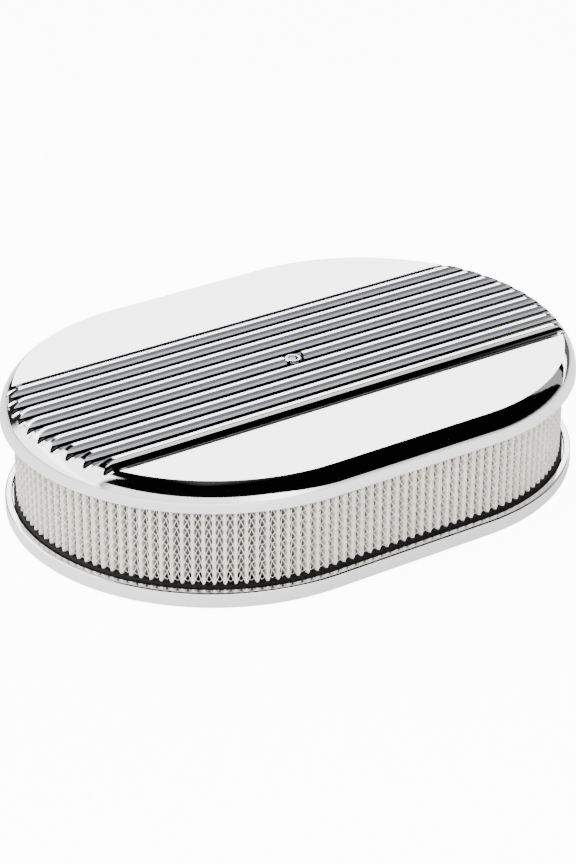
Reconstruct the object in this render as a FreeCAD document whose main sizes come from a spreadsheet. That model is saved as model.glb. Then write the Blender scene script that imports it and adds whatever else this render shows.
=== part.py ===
import FreeCAD, Part
import math
import operator
import os
import Sketcher
from FreeCAD import Vector

# Oval carburetor air cleaner: ribbed lid, pleated element with two rubber seals,
# base pan with a round neck, and the stud and nut that hold them together.
# All sizes are in millimetres. Long axis and ribs along X, up is Z,
# the origin is at the middle of the underside of the base pan.

doc = FreeCAD.newDocument("AirCleaner")
sheet = doc.addObject("Spreadsheet::Sheet", "Sizes")
sheet_rows = []
operations = {"+": operator.add, "-": operator.sub, "*": operator.mul, "/": operator.truediv}


class Size:
    # A number and the sheet formula that gives the same number.

    def __init__(self, value, text):
        self.value = float(value)
        self.text = text

    def __add__(self, other):
        return joined(self, "+", other)

    def __sub__(self, other):
        return joined(self, "-", other)

    def __mul__(self, other):
        return joined(self, "*", other)

    def __truediv__(self, other):
        return joined(self, "/", other)

    def __neg__(self):
        return Size(-self.value, "-(" + self.text + ")")


def as_size(term):
    return term if isinstance(term, Size) else Size(term, "(" + repr(float(term)) + ")")


def joined(first, sign, second):
    first = as_size(first)
    second = as_size(second)
    value = operations[sign](first.value, second.value)
    return Size(value, "(" + first.text + " " + sign + " " + second.text + ")")


def root(term):
    return Size(math.sqrt(term.value), "sqrt(" + term.text + ")")


def size(alias, value):
    row = len(sheet_rows) + 1
    sheet_rows.append(alias)
    sheet.set("A%d" % row, alias.replace("_", " "))
    sheet.set("B%d" % row, repr(value))
    sheet.setAlias("B%d" % row, alias)
    return Size(value, "Sizes." + alias)


zero = Size(0, "0")

# Plan of the lid: two half circles joined by straight sides.
lid_length = size("lid_length", 304.8)
lid_half_width = size("lid_half_width", 106.9)
end_centre = lid_length / 2 - lid_half_width

# Heights of the lid above the underside of the base.
wing_top = size("wing_top_height", 66.1)
lid_ceiling = size("lid_ceiling_height", 62.1)
skirt_bottom = size("skirt_bottom_height", 52.0)
skirt_break = size("skirt_edge_chamfer", 0.4)
roll_foot = size("roll_foot_height", 54.0)

# The rolled edge is an arc that starts at a crease on the flat wing.
crease_inset = size("crease_inset", 6.5)
roll_radius = size("roll_radius", 14.5)

# The ribbed pad in the middle of the lid.
rib_pitch = size("rib_pitch", 10.87)
groove_count = 10
rib_top = size("rib_top_height", 68.7)
pad_half_width = size("rib_pad_half_width", 46.3)
pad_inset = size("rib_pad_inset", 2.0)
pad_start = size("rib_pad_start_height", 55.0)
nose_radius = size("rib_nose_radius", 11.0)
groove_floor = size("groove_floor_height", 65.2)
groove_half_mouth = size("groove_half_mouth", 3.835)
groove_wall_slope = size("groove_wall_slope", 0.24)
groove_corner = size("groove_corner_radius", 2.8)
groove_headroom = size("groove_headroom", 3.0)
groove_end_inset = size("groove_end_inset", 9.0)
groove_end_radius = size("groove_end_radius", 10.0)
groove_end_angle = size("groove_end_angle", 75.0)
land_edge = size("land_edge_radius", 0.4)

# The inside of the lid: skirt, seal channel and inner lip.
skirt_inner = size("skirt_inner_half_width", 102.6)
lip_outer = size("lip_outer_half_width", 81.3)
lip_inner = size("lip_inner_half_width", 78.5)
lid_channel = size("lid_channel_height", 57.5)
lip_bottom = size("lip_bottom_height", 54.5)

# The pocket for the nut, and the boss under it.
pocket_radius = size("pocket_radius", 5.75)
pocket_floor = size("pocket_floor_height", 60.0)
boss_radius = size("boss_radius", 12.0)
boss_bottom = size("boss_bottom_height", 55.5)
boss_fillet = size("boss_fillet_radius", 1.5)

# Base pan.
pan_half_width = size("pan_half_width", 106.4)
pan_foot_inset = size("pan_foot_inset", 2.6)
pan_foot_height = size("pan_foot_height", 3.6)
pan_rim_top = size("pan_rim_top_height", 9.4)
pan_rim_edge = size("pan_rim_edge_radius", 1.1)
pan_inner_edge = size("pan_inner_edge_chamfer", 0.6)
pan_channel = size("pan_channel_height", 6.7)
pan_floor = size("pan_floor_height", 4.2)
neck_radius = size("neck_bore_radius", 65.1)
neck_wall = size("neck_wall_thickness", 3.4)
neck_top = size("neck_top_height", 9.4)
neck_edge = size("neck_edge_radius", 1.2)
gasket_recess_width = size("gasket_recess_width", 6.4)
gasket_recess_depth = size("gasket_recess_depth", 1.6)
gasket_clearance = size("gasket_side_clearance", 0.3)
gasket_opening_clearance = size("gasket_opening_clearance", 1.0)

# Element: two rubber seals and the folded media between two wire screens.
seal_side_clearance = size("seal_side_clearance", 0.6)
seal_height = size("seal_height", 4.0)
seal_edge = size("seal_edge_chamfer", 0.8)
fold_outer = size("fold_outer_half_width", 100.2)
fold_depth = size("fold_depth", 15.8)
fold_tip = size("fold_tip_width", 1.3)
media_thickness = size("media_thickness", 0.8)
screen_thickness = size("screen_thickness", 0.25)
fold_count = 160

# Stud, nut and washer.
stud_radius = size("stud_radius", 3.175)
stud_bottom = size("stud_bottom_height", 12.0)
stud_end_chamfer = size("stud_end_chamfer", 0.7)
stud_lower_thread = size("stud_lower_thread_top_height", 28.0)
stud_upper_thread = size("stud_upper_thread_bottom_height", 50.0)
stud_shank_radius = size("stud_shank_radius", 2.8)
stud_hole_clearance = size("stud_hole_clearance", 0.3)
thread_clearance = size("thread_clearance", 0.05)
washer_radius = size("washer_radius", 5.3)
washer_thickness = size("washer_thickness", 0.8)
nut_radius = size("nut_radius", 4.25)
nut_height = size("nut_height", 6.5)
nut_edge = size("nut_edge_chamfer", 0.5)
socket_half_flats = size("nut_socket_half_flats", 2.78)
socket_depth = size("nut_socket_depth", 3.0)

doc.recompute()


def bind(item, prop, term):
    item.setExpression(prop, term.text)


def new_body(name):
    body = doc.addObject("PartDesign::Body", name)
    body.Label = name
    return body


def origin_part(body, role):
    return [part for part in body.Origin.OriginFeatures if part.Role == role][0]


def new_sketch(body, name, plane, height=None):
    sketch = body.newObject("Sketcher::SketchObject", name)
    sketch.AttachmentSupport = (origin_part(body, plane), [""])
    sketch.MapMode = "FlatFace"
    if height is not None:
        sketch.AttachmentOffset.Base.z = height.value
        bind(sketch, "AttachmentOffset.Base.z", height)
    return sketch


def hold_length(sketch, number, term):
    bind(sketch, "Constraints[%d]" % number, term)


def hold_point(sketch, index, end, across, up):
    for kind, axis, term in (("DistanceX", -2, across), ("DistanceY", -1, up)):
        if term is zero:
            sketch.addConstraint(Sketcher.Constraint("PointOnObject", index, end, axis))
        else:
            number = sketch.addConstraint(Sketcher.Constraint(kind, -1, 1, index, end, term.value))
            hold_length(sketch, number, term)


def arc_between(start, stop, radius, turn):
    # turn is 1 for an arc that bends to the left on its way, and -1 to the right.
    chord = stop - start
    rise = math.sqrt(max(radius ** 2 - (chord.Length / 2) ** 2, 0.0))
    left = Vector(-chord.y, chord.x, 0).normalize()
    centre = (start + stop) * 0.5 + left * (turn * rise)
    angles = [math.atan2(end.y - centre.y, end.x - centre.x) for end in (start, stop)]
    if turn < 0:
        angles.reverse()
    return Part.ArcOfCircle(Part.Circle(centre, Vector(0, 0, 1), radius), angles[0], angles[1])


def draw_outline(sketch, corners, bends=None):
    # corners is a closed row of points; bends gives (radius, turn) for the sides that are arcs.
    bends = bends or {}
    points = [Vector(across.value, up.value, 0) for across, up in corners]
    count = len(points)
    starts = []
    for index in range(count):
        start = points[index]
        stop = points[(index + 1) % count]
        if index in bends:
            radius, turn = bends[index]
            sketch.addGeometry(arc_between(start, stop, radius.value, turn), False)
            starts.append(1 if turn > 0 else 2)
        else:
            sketch.addGeometry(Part.LineSegment(start, stop), False)
            starts.append(1)
    for index in range(count):
        following = (index + 1) % count
        sketch.addConstraint(
            Sketcher.Constraint("Coincident", index, 3 - starts[index], following, starts[following])
        )
        hold_point(sketch, index, starts[index], corners[index][0], corners[index][1])
        if index in bends:
            radius = bends[index][0]
            number = sketch.addConstraint(Sketcher.Constraint("Radius", index, radius.value))
            hold_length(sketch, number, radius)


def draw_circle(sketch, radius):
    circle = Part.Circle(Vector(0, 0, 0), Vector(0, 0, 1), radius.value)
    index = sketch.addGeometry(circle, False)
    sketch.addConstraint(Sketcher.Constraint("Coincident", index, 3, -1, 1))
    number = sketch.addConstraint(Sketcher.Constraint("Radius", index, radius.value))
    hold_length(sketch, number, radius)


def rounded(corner_across, corner_up, radius, sides):
    # Two points where a square corner is rounded or cut off, in the order given by sides:
    # each side is the direction from the corner to that point.
    points = []
    for across, up in sides:
        points.append(
            (
                corner_across + radius * across if across else corner_across,
                corner_up + radius * up if up else corner_up,
            )
        )
    return points


def extrude(body, name, kind, sketch, length, backwards=False):
    feature = body.newObject("PartDesign::" + kind, name)
    feature.Profile = sketch
    feature.Length = length.value
    bind(feature, "Length", length)
    feature.Reversed = backwards
    return feature


def turn_round(body, name, kind, sketch, axis, degrees, backwards=False):
    feature = body.newObject("PartDesign::" + kind, name)
    feature.Profile = sketch
    feature.ReferenceAxis = (sketch, [axis])
    feature.Angle = degrees.value if isinstance(degrees, Size) else degrees
    if isinstance(degrees, Size):
        bind(feature, "Angle", degrees)
    feature.Reversed = backwards
    return feature


def mirror(body, name, originals, plane):
    feature = body.newObject("PartDesign::Mirrored", name)
    feature.Originals = originals
    feature.MirrorPlane = (origin_part(body, plane), [""])
    body.Tip = feature
    return feature


def disc(body, name, radius, bottom, height):
    sketch = new_sketch(body, name + "_outline", "XY_Plane", bottom)
    draw_circle(sketch, radius)
    return extrude(body, name, "Pad", sketch, height)


def bore(body, name, radius, bottom, depth):
    # The sketch lies at the bottom of the bore and the cut goes up from it.
    sketch = new_sketch(body, name + "_outline", "XY_Plane", bottom)
    draw_circle(sketch, radius)
    return extrude(body, name, "Pocket", sketch, depth, True)


def oval(body, name, corners, bends=None, hollow=False):
    # A section at one end centre is drawn out along the straight side and turned round the end.
    sketch = new_sketch(body, name + "_section", "YZ_Plane", end_centre)
    draw_outline(sketch, corners, bends)
    straight_kind = "Pocket" if hollow else "Pad"
    round_kind = "Groove" if hollow else "Revolution"
    side = extrude(body, name + "_side", straight_kind, sketch, end_centre * 2, not hollow)
    mirror(body, name + "_other_side", [side], "XZ_Plane")
    end = turn_round(body, name + "_end", round_kind, sketch, "V_Axis", 180.0, True)
    return mirror(body, name + "_other_end", [end], "YZ_Plane")


def edges_where(feature, test):
    doc.recompute()
    return ["Edge%d" % (n + 1) for n, edge in enumerate(feature.Shape.Edges) if test(edge)]


def soften(body, name, kind, base, edges, prop, term):
    feature = body.newObject("PartDesign::" + kind, name)
    feature.Base = (base, edges)
    setattr(feature, prop, term.value)
    bind(feature, prop, term)
    body.Tip = feature
    return feature


def is_circle_at(radius, height):
    def test(edge):
        curve = edge.Curve
        if not isinstance(curve, Part.Circle) or abs(curve.Radius - radius.value) > 0.01:
            return False
        return abs(edge.BoundBox.ZMin - height.value) < 0.01 and edge.BoundBox.ZLength < 0.01

    return test


# Lid: the rib pad comes first, so that its ends are rounded down before the rolled body joins it.
lid = new_body("lid")
pad_end_radius = lid_half_width - pad_inset
pad_end_reach = end_centre + root(pad_end_radius * pad_end_radius - pad_half_width * pad_half_width)
pad_plan = new_sketch(lid, "rib_pad_plan", "XY_Plane", pad_start)
draw_outline(
    pad_plan,
    [
        (-pad_end_reach, -pad_half_width),
        (pad_end_reach, -pad_half_width),
        (pad_end_reach, pad_half_width),
        (-pad_end_reach, pad_half_width),
    ],
    {1: (pad_end_radius, 1), 3: (pad_end_radius, 1)},
)
rib_pad = extrude(lid, "rib_pad", "Pad", pad_plan, rib_top - pad_start)
nose_edges = edges_where(rib_pad, is_circle_at(pad_end_radius, rib_top))
soften(lid, "rib_noses", "Fillet", rib_pad, nose_edges, "Radius", nose_radius)

oval(
    lid,
    "lid_body",
    [
        (zero, lid_channel),
        (lip_inner, lid_channel),
        (lip_inner, skirt_bottom),
        (lid_half_width - skirt_break, skirt_bottom),
        (lid_half_width, skirt_bottom + skirt_break),
        (lid_half_width, roll_foot),
        (lid_half_width - crease_inset, wing_top),
        (zero, wing_top),
    ],
    {5: (roll_radius, 1)},
)
oval(
    lid,
    "lid_inside",
    [
        (zero, skirt_bottom - 1),
        (skirt_inner, skirt_bottom - 1),
        (skirt_inner, lid_channel),
        (lip_outer, lid_channel),
        (lip_outer, lip_bottom),
        (lip_inner, lip_bottom),
        (lip_inner, lid_ceiling),
        (zero, lid_ceiling),
    ],
    hollow=True,
)

# Grooves between the ribs: a straight cut, and a cut that rolls down over each end.
wall_length = root(groove_wall_slope * groove_wall_slope + 1)
corner_height = groove_floor + groove_corner
corner_across = (
    groove_half_mouth
    - (rib_top - corner_height) * groove_wall_slope
    - groove_corner * wall_length
)
wall_foot = (
    corner_across + groove_corner / wall_length,
    corner_height - groove_corner * groove_wall_slope / wall_length,
)
edge_across = groove_half_mouth - land_edge * groove_wall_slope + land_edge * wall_length
edge_height = rib_top - land_edge
wall_head = (
    edge_across - land_edge / wall_length,
    edge_height + land_edge * groove_wall_slope / wall_length,
)
land_break = (edge_across - land_edge * 0.28, edge_height + land_edge * 0.96)
groove_half = [
    (corner_across, groove_floor),
    wall_foot,
    wall_head,
    land_break,
    (land_break[0], rib_top + groove_headroom),
]

groove_ends = []
for number in range(groove_count):
    middle = rib_pitch * (number - (groove_count - 1) / 2)
    outline_reach = end_centre + root(lid_half_width * lid_half_width - middle * middle)
    reach = outline_reach - groove_end_inset
    name = "groove_%d" % (number + 1)
    section = new_sketch(lid, name + "_section", "YZ_Plane", reach)
    right_side = [(middle + across, up) for across, up in groove_half]
    left_side = [(middle - across, up) for across, up in reversed(groove_half)]
    draw_outline(
        section,
        right_side + left_side,
        {
            0: (groove_corner, 1),
            2: (land_edge, -1),
            6: (land_edge, -1),
            8: (groove_corner, 1),
        },
    )
    hinge_height = groove_floor - groove_end_radius
    axis_line = section.addGeometry(
        Part.LineSegment(
            Vector(middle.value - 5, hinge_height.value, 0),
            Vector(middle.value + 5, hinge_height.value, 0),
        ),
        True,
    )
    hold_point(section, axis_line, 1, middle - 5, hinge_height)
    hold_point(section, axis_line, 2, middle + 5, hinge_height)
    extrude(lid, name + "_straight", "Pocket", section, reach * 2)
    roll_down = turn_round(lid, name + "_end", "Groove", section, "Axis0", groove_end_angle)
    groove_ends.append(roll_down)
mirror(lid, "groove_other_ends", groove_ends, "YZ_Plane")

# Boss under the middle of the lid, with the nut pocket and the stud hole.
boss = disc(lid, "nut_boss", boss_radius, boss_bottom, lid_ceiling - boss_bottom + 1)
bore(lid, "nut_pocket", pocket_radius, pocket_floor, rib_top - pocket_floor + 1)
bore(lid, "stud_hole", stud_radius + stud_hole_clearance, boss_bottom, pocket_floor - boss_bottom)
boss_edges = edges_where(lid.Tip, is_circle_at(boss_radius, boss_bottom))
soften(lid, "boss_edge", "Fillet", lid.Tip, boss_edges, "Radius", boss_fillet)

# Base pan: floor, seal channel, rounded rim and the round neck.
base_pan = new_body("base_pan")
rim_outer_top = rounded(pan_half_width, pan_rim_top, pan_rim_edge, [(0, -1), (-1, 0)])
rim_inner_top = rounded(skirt_inner, pan_rim_top, pan_inner_edge, [(1, 0), (0, -1)])
ridge_outer_top = rounded(lip_outer, pan_rim_top, pan_inner_edge, [(0, -1), (-1, 0)])
ridge_inner_top = rounded(lip_inner, pan_rim_top, pan_inner_edge, [(1, 0), (0, -1)])
foot_radius = (pan_foot_inset * pan_foot_inset + pan_foot_height * pan_foot_height) / (
    pan_foot_inset * 2
)
oval(
    base_pan,
    "pan",
    [(zero, zero), (pan_half_width - pan_foot_inset, zero), (pan_half_width, pan_foot_height)]
    + rim_outer_top
    + rim_inner_top
    + [(skirt_inner, pan_channel), (lip_outer, pan_channel)]
    + ridge_outer_top
    + ridge_inner_top
    + [(lip_inner, pan_floor), (zero, pan_floor)],
    {
        1: (foot_radius, 1),
        3: (pan_rim_edge, 1),
    },
)
neck_outer = neck_radius + neck_wall
disc(base_pan, "neck", neck_outer, zero + 0.5, neck_top - 0.5)
bore(base_pan, "neck_bore", neck_radius, zero + -1, neck_top + 2)
recess_radius = neck_radius + gasket_recess_width
bore(base_pan, "gasket_recess", recess_radius, zero + -1, gasket_recess_depth + 1)
neck_edges = edges_where(base_pan.Tip, is_circle_at(neck_outer, neck_top))
soften(base_pan, "neck_edge", "Fillet", base_pan.Tip, neck_edges, "Radius", neck_edge)

# Flat ring gasket in the recess under the neck.
neck_gasket = new_body("neck_gasket")
disc(neck_gasket, "ring", recess_radius - gasket_clearance, zero, gasket_recess_depth)
gasket_opening = neck_radius + gasket_opening_clearance
bore(neck_gasket, "opening", gasket_opening, zero + -1, gasket_recess_depth + 2)

# The two rubber seals, made at their own underside and then set at their height.
seal_outer = skirt_inner - seal_side_clearance
seal_inner = lip_outer + seal_side_clearance
seal_heights = {"lower_seal": pan_channel, "upper_seal": lid_channel - seal_height}
for name, height in seal_heights.items():
    seal = new_body(name)
    corners = (
        rounded(seal_inner, zero + 0, seal_edge, [(0, 1), (1, 0)])
        + rounded(seal_outer, zero + 0, seal_edge, [(-1, 0), (0, 1)])
        + rounded(seal_outer, seal_height, seal_edge, [(0, -1), (-1, 0)])
        + rounded(seal_inner, seal_height, seal_edge, [(1, 0), (0, -1)])
    )
    oval(seal, name + "_ring", corners)
    seal.Placement.Base.z = height.value
    bind(seal, "Placement.Base.z", height)


def oval_point(distance, radius):
    # A point at this distance round the outer line of the folds, at this radius from the middle line.
    straight = 2 * end_centre.value
    half_turn = math.pi * fold_outer.value
    distance = distance % (2 * straight + 2 * half_turn)
    if distance < straight:
        return Vector(end_centre.value - distance, radius, 0)
    distance -= straight
    if distance < half_turn:
        angle = math.pi / 2 + distance / fold_outer.value
        return Vector(radius * math.cos(angle) - end_centre.value, radius * math.sin(angle), 0)
    distance -= half_turn
    if distance < straight:
        return Vector(distance - end_centre.value, -radius, 0)
    distance -= straight
    angle = distance / fold_outer.value - math.pi / 2
    return Vector(radius * math.cos(angle) + end_centre.value, radius * math.sin(angle), 0)


def fold_line(shift, blunt_outside):
    # One closed zigzag, moved out from the outer face of the media by shift. The convex side
    # of each fold is blunt and the hollow side is sharp.
    outer = fold_outer.value
    depth = fold_depth.value
    half_tip = fold_tip.value / 2
    thickness = media_thickness.value
    distance_round = 4 * end_centre.value + 2 * math.pi * outer
    pitch = distance_round / fold_count
    slope = (pitch / 2 - 2 * half_tip + thickness) / depth
    wall = half_tip + shift * math.sqrt(1 + slope * slope)
    points = []
    for fold in range(fold_count):
        tip = (fold + 0.5) * pitch
        valley = (fold + 1) * pitch
        if blunt_outside:
            half = wall - shift * slope
            points.append(oval_point(tip - half, outer + shift))
            points.append(oval_point(tip + half, outer + shift))
            points.append(oval_point(valley, outer - (pitch / 2 - wall) / slope))
        else:
            valley_radius = outer - depth + shift + thickness
            half = pitch / 2 - wall - (outer - valley_radius) * slope
            points.append(oval_point(tip, outer + wall / slope))
            points.append(oval_point(valley - half, valley_radius))
            points.append(oval_point(valley + half, valley_radius))
    return points


def folded_prism(name, points, height):
    line = doc.addObject("Part::Polygon", name + "_line")
    line.Nodes = points
    line.Close = True
    prism = doc.addObject("Part::Extrusion", name)
    prism.Base = line
    prism.DirMode = "Custom"
    prism.Dir = Vector(0, 0, 1)
    prism.Solid = True
    prism.LengthFwd = height.value
    bind(prism, "LengthFwd", height)
    return prism


def folded_layer(name, outer_points, inner_points, bottom, height):
    layer = doc.addObject("Part::Cut", name)
    layer.Label = name
    layer.Base = folded_prism(name + "_outer", outer_points, height)
    layer.Tool = folded_prism(name + "_inner", inner_points, height)
    layer.Placement.Base.z = bottom.value
    bind(layer, "Placement.Base.z", bottom)
    return layer


fold_bottom = pan_channel + seal_height
fold_height = lid_channel - seal_height - fold_bottom
media_outside = fold_line(0.0, True)
media_inside = fold_line(-media_thickness.value, False)
screen_outside = fold_line(screen_thickness.value, True)
screen_inside = fold_line(-media_thickness.value - screen_thickness.value, False)
media = folded_layer("filter_media", media_outside, media_inside, fold_bottom, fold_height)
outer_screen = folded_layer("outer_screen", screen_outside, media_outside, fold_bottom, fold_height)
inner_screen = folded_layer("inner_screen", media_inside, screen_inside, fold_bottom, fold_height)

# Washer, nut and stud, each made at its own underside and then set at its height.
nut_washer = new_body("nut_washer")
disc(nut_washer, "washer_disc", washer_radius, zero, washer_thickness)
stud_hole_radius = stud_radius + stud_hole_clearance
bore(nut_washer, "washer_hole", stud_hole_radius, zero + -1, washer_thickness + 2)
nut_washer.Placement.Base.z = pocket_floor.value
bind(nut_washer, "Placement.Base.z", pocket_floor)

nut = new_body("hold_down_nut")
nut_seat = pocket_floor + washer_thickness
socket_floor = nut_height - socket_depth
nut_barrel = disc(nut, "nut_barrel", nut_radius, zero, nut_height)
nut_edges = edges_where(nut_barrel, is_circle_at(nut_radius, nut_height))
soften(nut, "nut_edge", "Chamfer", nut_barrel, nut_edges, "Size", nut_edge)
bore(nut, "thread_bore", stud_radius + thread_clearance, zero + -1, socket_floor + 1)
hexagon = new_sketch(nut, "socket_outline", "XY_Plane", socket_floor)
half_side = socket_half_flats / root(as_size(3))
draw_outline(
    hexagon,
    [
        (socket_half_flats, -half_side),
        (socket_half_flats, half_side),
        (zero, half_side * 2),
        (-socket_half_flats, half_side),
        (-socket_half_flats, -half_side),
        (zero, -half_side * 2),
    ],
)
extrude(nut, "hex_socket", "Pocket", hexagon, socket_depth + 1, True)
nut.Placement.Base.z = nut_seat.value
bind(nut, "Placement.Base.z", nut_seat)

stud = new_body("stud")
stud_length = nut_seat + socket_floor - 0.2 - stud_bottom
stud_rod = disc(stud, "stud_rod", stud_radius, zero, stud_length)


def is_stud_end(edge):
    return is_circle_at(stud_radius, zero)(edge) or is_circle_at(stud_radius, stud_length)(edge)


stud_edges = edges_where(stud_rod, is_stud_end)
soften(stud, "stud_ends", "Chamfer", stud_rod, stud_edges, "Size", stud_end_chamfer)

# Between its two threads the stud is turned down to a plain shank.
shank_ring = new_sketch(stud, "shank_ring", "XY_Plane", stud_lower_thread - stud_bottom)
draw_circle(shank_ring, stud_shank_radius)
draw_circle(shank_ring, stud_radius + 1)
extrude(stud, "shank", "Pocket", shank_ring, stud_upper_thread - stud_lower_thread, True)
stud.Placement.Base.z = stud_bottom.value
bind(stud, "Placement.Base.z", stud_bottom)

doc.recompute()

nodes = [
    lid,
    base_pan,
    neck_gasket,
    doc.getObject("lower_seal"),
    doc.getObject("upper_seal"),
    media,
    outer_screen,
    inner_screen,
    nut_washer,
    nut,
    stud,
]

for item in doc.Objects:
    if "Invalid" in item.State or "Error" in item.State:
        raise RuntimeError(item.Name + " has not been built: " + str(item.State))
for node in nodes:
    shape = node.Shape
    if shape.isNull() or not shape.isValid() or shape.Volume <= 0:
        raise RuntimeError(node.Label + " has no sound solid")
if abs(lid.Shape.optimalBoundingBox().ZMax - rib_top.value) > 0.01:
    raise RuntimeError("a groove of the lid has not been cut")

os.makedirs("parts", exist_ok=True)
for node in nodes:
    node.Shape.exportStep("parts/" + node.Label + ".step")
    box = node.Shape.optimalBoundingBox()
    print("%-14s %9.0f mm3  %d solid  z %.2f to %.2f  x %.2f  y %.2f" % (
        node.Label,
        node.Shape.Volume,
        len(node.Shape.Solids),
        box.ZMin,
        box.ZMax,
        box.XLength,
        box.YLength,
    ))
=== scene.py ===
import bpy
import math
from mathutils import Matrix, Vector


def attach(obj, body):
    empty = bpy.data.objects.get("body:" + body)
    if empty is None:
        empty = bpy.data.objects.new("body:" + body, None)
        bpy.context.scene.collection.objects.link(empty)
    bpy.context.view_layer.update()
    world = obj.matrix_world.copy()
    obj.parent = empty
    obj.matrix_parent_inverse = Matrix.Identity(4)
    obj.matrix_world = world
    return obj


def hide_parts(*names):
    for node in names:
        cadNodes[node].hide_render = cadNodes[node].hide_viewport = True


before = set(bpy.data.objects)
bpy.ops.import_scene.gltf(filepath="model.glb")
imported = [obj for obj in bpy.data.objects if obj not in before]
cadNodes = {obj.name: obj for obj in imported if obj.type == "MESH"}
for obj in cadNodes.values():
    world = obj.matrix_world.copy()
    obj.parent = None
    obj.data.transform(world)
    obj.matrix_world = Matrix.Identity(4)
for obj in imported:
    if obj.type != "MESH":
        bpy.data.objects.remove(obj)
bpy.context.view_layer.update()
print("frame loaded:", len(cadNodes), "nodes")


# helpers for the pieces

def deselectAll():
    if bpy.context.object and bpy.context.object.mode != "OBJECT":
        bpy.ops.object.mode_set(mode="OBJECT")
    bpy.ops.object.select_all(action="DESELECT")


def makeActive(obj):
    deselectAll()
    obj.select_set(True)
    bpy.context.view_layer.objects.active = obj


def smoothByAngle(obj, degrees):
    makeActive(obj)
    bpy.ops.object.shade_smooth_by_angle(angle=math.radians(degrees))


def mergedCopy(nodeName, newName, mergeDistance=0.000002, flatAngle=0.05):
    # a CAD node's mesh as welded faces, with the flat stretches joined up
    mesh = cadNodes[nodeName].data.copy()
    obj = bpy.data.objects.new(newName, mesh)
    bpy.context.scene.collection.objects.link(obj)
    mesh.materials.clear()
    makeActive(obj)
    bpy.ops.object.mode_set(mode="EDIT")
    bpy.ops.mesh.select_all(action="SELECT")
    bpy.ops.mesh.remove_doubles(threshold=mergeDistance)
    bpy.ops.mesh.customdata_custom_splitnormals_clear()
    bpy.ops.mesh.dissolve_limited(angle_limit=math.radians(flatAngle))
    bpy.ops.object.mode_set(mode="OBJECT")
    return obj


def finishPiece(obj, body, slotName, material, *replaced):
    obj.data.materials.clear()
    obj.data.materials.append(material)
    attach(obj, body)
    if replaced:
        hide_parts(*replaced)


def paintNode(nodeName, material):
    obj = cadNodes[nodeName]
    if not obj.material_slots:
        obj.data.materials.append(material)
    for slotEntry in obj.material_slots:
        slotEntry.material = material


# helpers for the nodes of finishes and of the studio

class NodeDesk:
    def __init__(self, tree):
        self.tree = tree
        tree.nodes.clear()

    def link(self, start, end):
        self.tree.links.new(start, end)

    def axes(self, vector):
        split = self.tree.nodes.new("ShaderNodeSeparateXYZ")
        self.link(vector, split.inputs["Vector"])
        return [split.outputs[axis] for axis in "XYZ"]

    def maths(self, operation, *values):
        node = self.tree.nodes.new("ShaderNodeMath")
        node.operation = operation
        for index, value in enumerate(values):
            if isinstance(value, (int, float)):
                node.inputs[index].default_value = value
            else:
                self.link(value, node.inputs[index])
        return node.outputs["Value"]

    def product(self, result, *others):
        for other in others:
            result = self.maths("MULTIPLY", result, other)
        return result

    def spread(self, source, low, high, span=(0.3, 0.7), shape="LINEAR"):
        # low to high while the source runs over the span; a noise keeps mostly within 0.3 to 0.7
        ranged = self.tree.nodes.new("ShaderNodeMapRange")
        ranged.interpolation_type = shape
        ranged.inputs["From Min"].default_value = span[0]
        ranged.inputs["From Max"].default_value = span[1]
        ranged.inputs["To Min"].default_value = low
        ranged.inputs["To Max"].default_value = high
        self.link(source, ranged.inputs["Value"])
        return ranged.outputs["Result"]


class FinishDesk(NodeDesk):
    def __init__(self, name):
        self.material = bpy.data.materials.new(name)
        self.material.use_nodes = True
        super().__init__(self.material.node_tree)
        output = self.tree.nodes.new("ShaderNodeOutputMaterial")
        self.shader = self.tree.nodes.new("ShaderNodeBsdfPrincipled")
        self.link(self.shader.outputs["BSDF"], output.inputs["Surface"])
        self.place = self.tree.nodes.new("ShaderNodeTexCoord").outputs["Object"]

    def put(self, socketName, value):
        self.shader.inputs[socketName].default_value = value

    def feed(self, socketName, source):
        self.link(source, self.shader.inputs[socketName])

    def noise(self, scale, detail, roughness=0.5, stretch=None):
        texture = self.tree.nodes.new("ShaderNodeTexNoise")
        texture.inputs["Scale"].default_value = scale
        texture.inputs["Detail"].default_value = detail
        texture.inputs["Roughness"].default_value = roughness
        source = self.place
        if stretch:
            mapping = self.tree.nodes.new("ShaderNodeMapping")
            mapping.inputs["Scale"].default_value = stretch
            self.link(self.place, mapping.inputs["Vector"])
            source = mapping.outputs["Vector"]
        self.link(source, texture.inputs["Vector"])
        return texture.outputs["Fac"]

    def tint(self, mask, under, over):
        # one colour over another where the mask is 1; a colour is fixed or comes from a node
        mix = self.tree.nodes.new("ShaderNodeMix")
        mix.data_type = "RGBA"
        self.link(mask, mix.inputs["Factor"])
        for socketName, colour in (("A", under), ("B", over)):
            if isinstance(colour, tuple):
                mix.inputs[socketName].default_value = (*colour, 1.0)
            else:
                self.link(colour, mix.inputs[socketName])
        return mix.outputs["Result"]

    def bump(self, height, strength, distance, under=None):
        node = self.tree.nodes.new("ShaderNodeBump")
        node.inputs["Strength"].default_value = strength
        node.inputs["Distance"].default_value = distance
        self.link(height, node.inputs["Height"])
        if under is not None:
            self.link(under, node.inputs["Normal"])
        return node.outputs["Normal"]


def shaded(tone, share):
    return tuple(channel * share for channel in tone)


# polished aluminium

polishSettings = {
    "patchScale": 38.0,
    "patchDetail": 4.0,
    "patchTone": 0.985,
    "smearStretch": (16.0, 160.0, 90.0),
    "smearScale": 9.0,
    "smearDetail": 5.0,
    "smearBreakup": 0.6,
    "roughShares": (0.8, 1.35),
    "swellScale": 60.0,
    "swellDetail": 1.0,
    "swellHeight": 0.0002,
    "scratchShare": 0.35,
    "scratchHeight": 0.00004,
}


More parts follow.
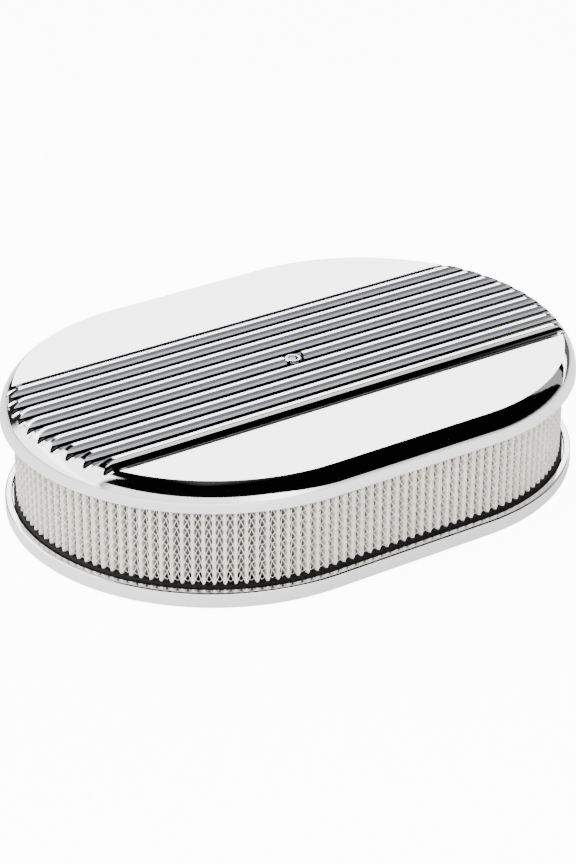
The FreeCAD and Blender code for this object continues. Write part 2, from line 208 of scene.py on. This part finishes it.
def grooveShading(desk, grooves, colour, rough):
    # the walls of the grooves keep their cast skin; the dark band at the top of each groove wall is painted
    # shade, and the near-black strip where the outer ribs meet the wing is painted shadow
    x, y, z = desk.axes(desk.place)
    along = desk.maths("ABSOLUTE", x)
    across = desk.maths("ABSOLUTE", y)
    inPitches = desk.maths("MULTIPLY_ADD", y, 1.0 / grooves["pitch"], grooves["pitchShift"])
    fromMiddle = desk.maths("PINGPONG", inPitches, 0.5)
    amongRibs = desk.maths("LESS_THAN", across, grooves["reach"])
    wall = desk.product(
        desk.maths("LESS_THAN", fromMiddle, grooves["halfMouth"]),
        amongRibs,
        desk.maths("LESS_THAN", z, grooves["land"]),
        desk.spread(z, 0.0, 1.0, grooves["wallStart"]),
    )
    # painted shade: a dark band along the top of each groove wall, just below the land
    lipShade = desk.product(
        desk.maths("LESS_THAN", fromMiddle, grooves["lipReach"]),
        desk.spread(z, 0.0, 1.0, grooves["lipStart"]),
        amongRibs,
    )
    # painted shadow: a near-black strip along the crease where the outer ribs meet the wing
    footShadow = desk.product(
        desk.spread(across, 0.0, 1.0, grooves["footNear"]),
        desk.spread(across, 1.0, 0.0, grooves["footFar"]),
        desk.maths("LESS_THAN", z, grooves["footTop"]),
        desk.spread(along, 1.0, 0.0, grooves["footEnd"]),
    )
    streaks = desk.noise(grooves["streakScale"], grooves["streakDetail"], stretch=grooves["streakStretch"])
    cast = desk.tint(desk.spread(streaks, 0.0, 1.0), grooves["castDark"], grooves["castLight"])
    # the cast skin first, then the painted shade band and the painted shadow strip over it
    for mask, tone in ((wall, cast), (lipShade, grooves["lipPaintedShade"]), (footShadow, grooves["footPaintedShadow"])):
        colour = desk.tint(mask, colour, tone)
    cover = desk.maths("MAXIMUM", desk.maths("MAXIMUM", wall, lipShade), footShadow)
    desk.feed("Metallic", desk.maths("MULTIPLY_ADD", cover, -grooves["castShare"], 1.0))
    return colour, desk.maths("MULTIPLY_ADD", cover, grooves["castRoughness"], rough)


def polishedAluminium(name, finish, grooves=None):
    polish = polishSettings
    desk = FinishDesk(name)
    patches = desk.noise(polish["patchScale"], polish["patchDetail"])
    smears = desk.noise(
        polish["smearScale"], polish["smearDetail"], polish["smearBreakup"], polish["smearStretch"]
    )
    dulled = shaded(finish["tone"], polish["patchTone"])
    colour = desk.tint(desk.spread(patches, 0.0, 1.0), finish["tone"], dulled)
    rough = desk.spread(smears, *shaded(polish["roughShares"], finish["roughness"]))
    desk.put("Metallic", 1.0)
    if grooves:
        colour, rough = grooveShading(desk, grooves, colour, rough)
    desk.feed("Base Color", colour)
    desk.feed("Roughness", rough)
    swell = desk.noise(polish["swellScale"], polish["swellDetail"])
    waved = desk.bump(swell, finish["waves"], polish["swellHeight"])
    scratchStrength = finish["waves"] * polish["scratchShare"]
    desk.feed("Normal", desk.bump(smears, scratchStrength, polish["scratchHeight"], waved))
    return desk.material


# lid

lidSettings = {"smoothAngle": 22.0, "tone": (0.93, 0.935, 0.94), "roughness": 0.045, "waves": 0.02}
grooveSettings = {
    "pitch": 0.01087,
    "pitchShift": 100.5,  # the grooves lie half a pitch off the middle; the 100 keeps the sum above zero
    "halfMouth": 0.365,  # in pitches
    "land": 0.0684,
    "reach": 0.0448,
    "wallStart": (0.0661, 0.0663),
    "lipStart": (0.0672, 0.0675),
    "lipReach": 0.405,  # in pitches
    "streakStretch": (12.0, 12.0, 2600.0),
    "streakScale": 1.0,
    "streakDetail": 2.0,
    "castDark": (0.30, 0.31, 0.33),
    "castLight": (0.36, 0.37, 0.39),
    # painted shade along the top of the groove walls
    "lipPaintedShade": (0.10, 0.105, 0.12),
    "castShare": 0.85,
    "castRoughness": 0.42,
    "footNear": (0.0486, 0.0489),
    "footFar": (0.0521, 0.0524),
    "footTop": 0.0668,
    "footEnd": (0.126, 0.130),
    # painted shadow in the crease at the foot of the outer ribs
    "footPaintedShadow": (0.004, 0.004, 0.006),
}
lidMetal = polishedAluminium("polishedLidMetal", lidSettings, grooveSettings)
lidPiece = mergedCopy("lid", "ribbedLid")
smoothByAngle(lidPiece, lidSettings["smoothAngle"])
finishPiece(lidPiece, "lid", "polished_lid", lidMetal, "lid")
print("lid made:", len(lidPiece.data.polygons), "faces")


# base pan

panSettings = {"smoothAngle": 30.0, "tone": (0.91, 0.915, 0.92), "roughness": 0.09, "waves": 0.03}
panMetal = polishedAluminium("polishedPanMetal", panSettings)
panPiece = mergedCopy("base_pan", "basePan")
smoothByAngle(panPiece, panSettings["smoothAngle"])
finishPiece(panPiece, "base", "polished_pan", panMetal, "base_pan")
print("base pan made:", len(panPiece.data.polygons), "faces")


# seals and gasket

rubberSettings = {
    "cloudScale": 120.0,
    "cloudDetail": 5.0,
    "cloudTone": 1.6,
    "grainScale": 2600.0,
    "grainDetail": 2.0,
    "grainStrength": 0.35,
    "grainHeight": 0.00008,
    "roughSwing": 0.08,
    "shine": 0.22,
    "seal": {"tone": (0.0034, 0.0027, 0.0030), "roughness": 0.66},
    "gasket": {"tone": (0.012, 0.012, 0.012), "roughness": 0.7},
}


def mouldedRubber(name, finish, rubber):
    desk = FinishDesk(name)
    cloudy = desk.noise(rubber["cloudScale"], rubber["cloudDetail"])
    grain = desk.noise(rubber["grainScale"], rubber["grainDetail"])
    paler = shaded(finish["tone"], rubber["cloudTone"])
    desk.feed("Base Color", desk.tint(desk.spread(cloudy, 0.0, 1.0), finish["tone"], paler))
    smoothest = finish["roughness"] - rubber["roughSwing"]
    roughest = finish["roughness"] + rubber["roughSwing"]
    desk.feed("Roughness", desk.spread(grain, smoothest, roughest))
    desk.put("Specular IOR Level", rubber["shine"])
    desk.feed("Normal", desk.bump(grain, rubber["grainStrength"], rubber["grainHeight"]))
    return desk.material


sealRubber = mouldedRubber("sealRubber", rubberSettings["seal"], rubberSettings)
gasketRubber = mouldedRubber("gasketRubber", rubberSettings["gasket"], rubberSettings)
paintNode("lower_seal", sealRubber)
paintNode("upper_seal", sealRubber)
paintNode("neck_gasket", gasketRubber)
print("seals and gasket painted")


# stud, nut and washer

steelSettings = {
    "tone": (0.60, 0.59, 0.57),
    "roughness": 0.24,
    "roughShares": (0.7, 1.4),
    "cloudScale": 240.0,
    "cloudDetail": 4.0,
    "cloudTone": 0.86,
    "lineStretch": (900.0, 900.0, 60.0),
    "lineScale": 4.0,
    "lineDetail": 3.0,
    "lineStrength": 0.15,
    "lineHeight": 0.00003,
}
nutSettings = {"tone": (0.80, 0.80, 0.81), "roughness": 0.05, "waves": 0.01}


def platedSteel(name, steel):
    desk = FinishDesk(name)
    cloudy = desk.noise(steel["cloudScale"], steel["cloudDetail"])
    lines = desk.noise(steel["lineScale"], steel["lineDetail"], stretch=steel["lineStretch"])
    darker = shaded(steel["tone"], steel["cloudTone"])
    desk.feed("Base Color", desk.tint(desk.spread(cloudy, 0.0, 1.0), steel["tone"], darker))
    desk.put("Metallic", 1.0)
    desk.feed("Roughness", desk.spread(lines, *shaded(steel["roughShares"], steel["roughness"])))
    desk.feed("Normal", desk.bump(lines, steel["lineStrength"], steel["lineHeight"]))
    return desk.material


steelFinish = platedSteel("platedSteel", steelSettings)
paintNode("nut_washer", steelFinish)
paintNode("stud", steelFinish)
paintNode("hold_down_nut", polishedAluminium("nutChrome", nutSettings))
print("stud, nut and washer painted")


# pleated element: cotton folds

elementSettings = {
    "endCentre": 0.0455,
    "outerHalfWidth": 0.1002,
    "foldCount": 160,
    "tipWidth": 0.0013,
    "bottom": 0.0107,
    "top": 0.0535,
}
cottonSettings = {
    "cloudScale": 55.0,
    "cloudDetail": 5.0,
    "cloudLow": 0.35,
    "fibreStretch": (1.0, 1.0, 0.35),
    "fibreScale": 1700.0,
    "fibreDetail": 4.0,
    "fibreBreakup": 0.65,
    "fibreLow": 0.55,
    "fibreStrength": 0.6,
    "fibreHeight": 0.0003,
    "shadowTone": (0.50, 0.455, 0.39),
    "lightTone": (0.73, 0.685, 0.61),
    # painted shade inside the folds: its colour, the depths where it comes in and fades, and how much is left
    # further in
    "foldPaintedShade": (0.085, 0.062, 0.043),
    "foldShadeStart": (0.0002, 0.0040),
    "foldShadeEnd": (0.0075, 0.0125),
    "innerShadeShare": 0.12,
    "roughness": 0.95,
    "sheen": 0.25,
}


def foldedCotton(name, weave, element):
    desk = FinishDesk(name)
    cloudy = desk.noise(weave["cloudScale"], weave["cloudDetail"])
    fibres = desk.noise(
        weave["fibreScale"], weave["fibreDetail"], weave["fibreBreakup"], weave["fibreStretch"]
    )
    mixed = desk.product(
        desk.spread(cloudy, weave["cloudLow"], 1.0), desk.spread(fibres, weave["fibreLow"], 1.0)
    )
    clean = desk.tint(mixed, weave["shadowTone"], weave["lightTone"])
    # depth below the oval of the outer fold tips; the folds are painted dark brown from just below the tips
    # to about half their depth, as painted shade, and only faintly further in
    x, y, _ = desk.axes(desk.place)
    past = desk.maths("MAXIMUM", desk.maths("SUBTRACT", desk.maths("ABSOLUTE", x), element["endCentre"]), 0.0)
    ySquare = desk.maths("POWER", desk.maths("ABSOLUTE", y), 2.0)
    fromCentre = desk.maths("SQRT", desk.maths("MULTIPLY_ADD", past, past, ySquare))
    depth = desk.maths("SUBTRACT", element["outerHalfWidth"], fromCentre)
    foldShade = desk.product(
        desk.spread(depth, 0.0, 1.0, weave["foldShadeStart"]),
        desk.spread(depth, 1.0, weave["innerShadeShare"], weave["foldShadeEnd"]),
    )
    desk.feed("Base Color", desk.tint(foldShade, clean, weave["foldPaintedShade"]))
    desk.put("Roughness", weave["roughness"])
    desk.put("Sheen Weight", weave["sheen"])
    desk.feed("Normal", desk.bump(fibres, weave["fibreStrength"], weave["fibreHeight"]))
    return desk.material


mediaCotton = foldedCotton("mediaCotton", cottonSettings, elementSettings)
paintNode("filter_media", mediaCotton)
paintNode("inner_screen", mediaCotton)
print("cotton folds painted")


# pleated element: woven wire on both sides

wireSettings = {
    "radius": 0.0002,
    "standOff": 1.3,  # wire radii from a fold's tip to the middle of the wire
    "weaveHeight": 0.00006,
    "cellHeight": 0.00465,
    "tipShare": 0.42,
    "bowShare": 0.55,
    "dullTone": (0.86, 0.83, 0.76),
    "brightTone": (0.95, 0.94, 0.90),
    "tintScale": 260.0,
    "tintDetail": 4.0,
    "fineScale": 5200.0,
    "fineDetail": 2.0,
    "fineStrength": 0.2,
    "fineHeight": 0.00003,
    "metallic": 0.35,
    "roughness": (0.34, 0.5),
}
outerSide = {"halfWidth": 0.1002, "facing": 1.0, "dip": 0.0023, "tipShift": 0.0, "stepsPerCell": 4}
innerSide = {"halfWidth": 0.08335, "facing": -1.0, "dip": 0.0018, "tipShift": 0.5, "stepsPerCell": 3}


def drawnWire(name, wire):
    # bright drawn wire under a thin, slightly yellowed coat
    desk = FinishDesk(name)
    cloudy = desk.noise(wire["tintScale"], wire["tintDetail"])
    fine = desk.noise(wire["fineScale"], wire["fineDetail"])
    desk.feed("Base Color", desk.tint(desk.spread(cloudy, 0.0, 1.0), wire["dullTone"], wire["brightTone"]))
    desk.put("Metallic", wire["metallic"])
    desk.feed("Roughness", desk.spread(fine, *wire["roughness"]))
    desk.feed("Normal", desk.bump(fine, wire["fineStrength"], wire["fineHeight"]))
    return desk.material


def ovalPoint(distance, radius, element):
    # the distance runs along the oval of the outer fold tips, whatever the radius asked for
    centre = element["endCentre"]
    straight = 2.0 * centre
    halfTurn = math.pi * element["outerHalfWidth"]
    distance = distance % (2.0 * straight + 2.0 * halfTurn)
    if distance < straight:
        return Vector((centre - distance, radius, 0.0))
    distance -= straight
    if distance < halfTurn:
        angle = math.pi / 2.0 + distance / element["outerHalfWidth"]
        return Vector((radius * math.cos(angle) - centre, radius * math.sin(angle), 0.0))
    distance -= halfTurn
    if distance < straight:
        return Vector((distance - centre, -radius, 0.0))
    distance -= straight
    angle = distance / element["outerHalfWidth"] - math.pi / 2.0
    return Vector((radius * math.cos(angle) + centre, radius * math.sin(angle), 0.0))


def wirePoint(cells, height, weave, side, wire, element):
    # two mesh cells to a fold; the wire rests on the fold's tip and sags into the gap beside it
    outline = 4.0 * element["endCentre"] + 2.0 * math.pi * element["outerHalfWidth"]
    pitch = outline / element["foldCount"]
    fromTip = abs((cells / 2.0 + side["tipShift"]) % 1.0 - 0.5) * pitch
    onTip = element["tipWidth"] * wire["tipShare"]
    slope = max(0.0, fromTip - onTip) / (pitch / 2.0 - onTip)
    bow = 1.0 - math.cos(min(1.0, slope) * math.pi * 0.5)
    sag = (1.0 - wire["bowShare"]) * slope + wire["bowShare"] * bow
    lift = wire["radius"] * wire["standOff"] - side["dip"] * sag - weave
    point = ovalPoint(cells / 2.0 * pitch, side["halfWidth"] + side["facing"] * lift, element)
    point.z = height
    return point


def wireCloth(name, side, wire, element):
    # woven screen: two families of slanting wires that cross at the height of one cell
    curve = bpy.data.curves.new(name, "CURVE")
    curve.dimensions = "3D"
    curve.bevel_depth = wire["radius"]
    curve.bevel_resolution = 0
    curve.use_fill_caps = False
    tall = element["top"] - element["bottom"]
    cellsUp = tall / wire["cellHeight"]
    steps = int(round(cellsUp * side["stepsPerCell"]))
    for direction in (1.0, -1.0):
        for start in range(element["foldCount"] * 2):
            spline = curve.splines.new("POLY")
            spline.points.add(steps)
            for step in range(steps + 1):
                share = step / steps
                cells = start + direction * share * cellsUp
                height = element["bottom"] + share * tall
                weave = direction * wire["weaveHeight"] * math.cos(share * cellsUp * 2.0 * math.pi)
                place = wirePoint(cells, height, weave, side, wire, element)
                spline.points[step].co = (*place, 1.0)
    obj = bpy.data.objects.new(name, curve)
    bpy.context.scene.collection.objects.link(obj)
    makeActive(obj)
    bpy.ops.object.convert(target="MESH")
    bpy.ops.object.shade_smooth()
    return bpy.context.object


screenWire = drawnWire("screenWire", wireSettings)
outerWire = wireCloth("outerWireScreen", outerSide, wireSettings, elementSettings)
finishPiece(outerWire, "base", "screen_wire", screenWire, "outer_screen")
innerWire = wireCloth("innerWireScreen", innerSide, wireSettings, elementSettings)
finishPiece(innerWire, "base", "screen_wire", screenWire)
print("wire made:", len(outerWire.data.polygons) + len(innerWire.data.polygons), "faces")


# floor

floorSettings = {
    "size": 8.0,
    "height": -0.0005,
    "noiseScale": 3.0,
    "noiseDetail": 2.0,
    "dullTone": (0.86, 0.86, 0.86),
    "paleTone": (0.88, 0.88, 0.88),
    "roughness": 0.9,
    "whiteness": 11.0,
}


def paleFloor(settings):
    deselectAll()
    bpy.ops.mesh.primitive_plane_add(size=settings["size"], location=(0.0, 0.0, settings["height"]))
    floor = bpy.context.object
    floor.name = "paleFloor"
    desk = FinishDesk("paleFloorPaint")
    patches = desk.noise(settings["noiseScale"], settings["noiseDetail"])
    desk.feed("Base Color", desk.tint(patches, settings["dullTone"], settings["paleTone"]))
    desk.put("Roughness", settings["roughness"])
    # the paper is overexposed for the camera alone, so that it doesn't flood the metal
    desk.put("Emission Color", (1.0, 1.0, 1.0, 1.0))
    seen = desk.tree.nodes.new("ShaderNodeLightPath").outputs["Is Camera Ray"]
    desk.feed("Emission Strength", desk.maths("MULTIPLY", seen, settings["whiteness"]))
    floor.data.materials.append(desk.material)


paleFloor(floorSettings)


# light: panels that the polished metal reflects, and two softboxes that it doesn't show

# spans of x, y and z are parts of a direction of length 1; rise and fall are angles in degrees that run
# from the far horizon (0) over the top (90) to the near horizon (180)
panelSettings = {
    "farPanel": {"rise": (22.5, 26.0), "fall": (41.0, 43.5), "light": 5.2},
    "farLow": {"fall": (22.5, 26.0), "x": (0.1, 0.4), "light": (0.02, 0.14)},
    "leftPanel": {"x": (-0.42, -0.3), "y": (0.03, 0.1), "z": (0.7, 0.78), "light": 3.8},
    "upperGrey": {"rise": (54.0, 58.0), "fall": (92.0, 99.0), "x": (0.56, 0.7), "light": 0.5},
    "overhead": {"side": (0.2, 0.36), "z": (0.5, 0.8), "light": 0.07},
    "nearTop": {"x": (-0.15, 0.7), "height": (0.36, 0.05), "edge": (-0.01, 0.012), "y": (-0.1, 0.1)},
    "nearGlow": {"xRise": (-0.5, -0.05), "xFall": (0.0, 0.45), "light": 3.0},
    "nearPanel": {"x": (0.2, 0.8), "light": (2.5, 0.38)},
    "darkness": 0.0015,
}
softboxSettings = {
    "frontSoftbox": {
        "place": (-0.8, -1.3, 1.0), "target": (0.0, 0.0, 0.03), "size": (1.2, 0.9), "power": 62.0
    },
    "overheadSoftbox": {
        "place": (-0.2, 0.1, 1.8), "target": (0.0, 0.0, 0.0), "size": (1.6, 1.6), "power": 40.0
    },
}


def panelWorld(panels):
    world = bpy.data.worlds.new("paleStudio")
    bpy.context.scene.world = world
    world.use_nodes = True
    desk = NodeDesk(world.node_tree)
    output = desk.tree.nodes.new("ShaderNodeOutputWorld")
    background = desk.tree.nodes.new("ShaderNodeBackground")
    desk.link(background.outputs["Background"], output.inputs["Surface"])
    x, y, z = desk.axes(desk.tree.nodes.new("ShaderNodeTexCoord").outputs["Generated"])
    angle = desk.maths("MULTIPLY", desk.maths("ARCTAN2", z, y), 180.0 / math.pi)

    def rise(source, span, top=1.0):
        return desk.spread(source, 0.0, top, span, "SMOOTHSTEP")

    def fall(source, span, top=1.0):
        return desk.spread(source, top, 0.0, span, "SMOOTHSTEP")

    def slide(source, span, levels):
        return desk.spread(source, *levels, span, "SMOOTHSTEP")

    far = panels["farPanel"]
    farPanel = desk.product(fall(angle, far["fall"], far["light"]), rise(angle, far["rise"]))
    low = panels["farLow"]
    farLow = desk.product(fall(angle, low["fall"]), slide(x, low["x"], low["light"]))
    left = panels["leftPanel"]
    leftPanel = desk.product(fall(x, left["x"], left["light"]), rise(y, left["y"]), fall(z, left["z"]))
    grey = panels["upperGrey"]
    upperGrey = desk.product(
        rise(angle, grey["rise"]), fall(angle, grey["fall"], grey["light"]), rise(x, grey["x"])
    )
    top = panels["overhead"]
    overhead = desk.product(
        fall(desk.maths("ABSOLUTE", x), top["side"]),
        fall(desk.maths("ABSOLUTE", y), top["side"], top["light"]),
        rise(z, top["z"]),
    )
    near = panels["nearTop"]
    below = desk.maths("SUBTRACT", slide(x, near["x"], near["height"]), z)
    nearEdge = desk.product(rise(below, near["edge"]), fall(y, near["y"]))
    glow = panels["nearGlow"]
    nearGlow = desk.product(rise(x, glow["xRise"], glow["light"]), fall(x, glow["xFall"]))
    panel = panels["nearPanel"]
    nearLight = desk.maths("ADD", slide(x, panel["x"], panel["light"]), nearGlow)
    nearPanel = desk.product(nearEdge, nearLight)

    level = desk.maths("MAXIMUM", desk.maths("ADD", farPanel, farLow), leftPanel)
    for part in (upperGrey, nearPanel, overhead, panels["darkness"]):
        level = desk.maths("ADD", level, part)
    desk.link(level, background.inputs["Strength"])
    background.inputs["Color"].default_value = (1.0, 1.0, 1.0, 1.0)


def addSoftbox(name, settings):
    light = bpy.data.lights.new(name, "AREA")
    light.shape = "RECTANGLE"
    light.size, light.size_y = settings["size"]
    light.energy = settings["power"]
    light.color = (1.0, 1.0, 1.0)
    obj = bpy.data.objects.new(name, light)
    bpy.context.scene.collection.objects.link(obj)
    place = Vector(settings["place"])
    turn = (Vector(settings["target"]) - place).to_track_quat("-Z", "Y").to_matrix().to_4x4()
    obj.matrix_world = Matrix.Translation(place) @ turn
    obj.visible_glossy = False


panelWorld(panelSettings)
for softboxName, softbox in softboxSettings.items():
    addSoftbox(softboxName, softbox)


# camera at the photograph's angle; lengths are in half widths of the lid

cameraSettings = {
    "halfWidth": 0.1069,
    "azimuth": -34.0419,
    "elevation": 27.8748,
    "roll": 0.214,
    "distance": 13.0567,
    "target": (0.2309, 0.3807, 0.0),
    "focalPixels": 2640.1,
    "frameHeight": 864.0,
    "sensor": 36.0,
}


def addCamera(settings):
    azimuth = math.radians(settings["azimuth"])
    elevation = math.radians(settings["elevation"])
    roll = math.radians(settings["roll"])
    level = math.cos(elevation)
    back = Vector((math.sin(azimuth) * level, -math.cos(azimuth) * level, math.sin(elevation)))
    right = (-back).cross(Vector((0.0, 0.0, 1.0))).normalized()
    up = right.cross(-back)
    tiltedRight = right * math.cos(roll) + up * math.sin(roll)
    tiltedUp = up * math.cos(roll) - right * math.sin(roll)
    place = (Vector(settings["target"]) + back * settings["distance"]) * settings["halfWidth"]
    data = bpy.data.cameras.new("studioCamera")
    data.lens = settings["focalPixels"] * settings["sensor"] / settings["frameHeight"]
    data.sensor_width = settings["sensor"]
    data.clip_start = 0.01
    camera = bpy.data.objects.new("studioCamera", data)
    bpy.context.scene.collection.objects.link(camera)
    turn = Matrix((tiltedRight, tiltedUp, back)).transposed().to_4x4()
    camera.matrix_world = Matrix.Translation(place) @ turn
    bpy.context.scene.camera = camera


addCamera(cameraSettings)
print("stage, light and camera set")
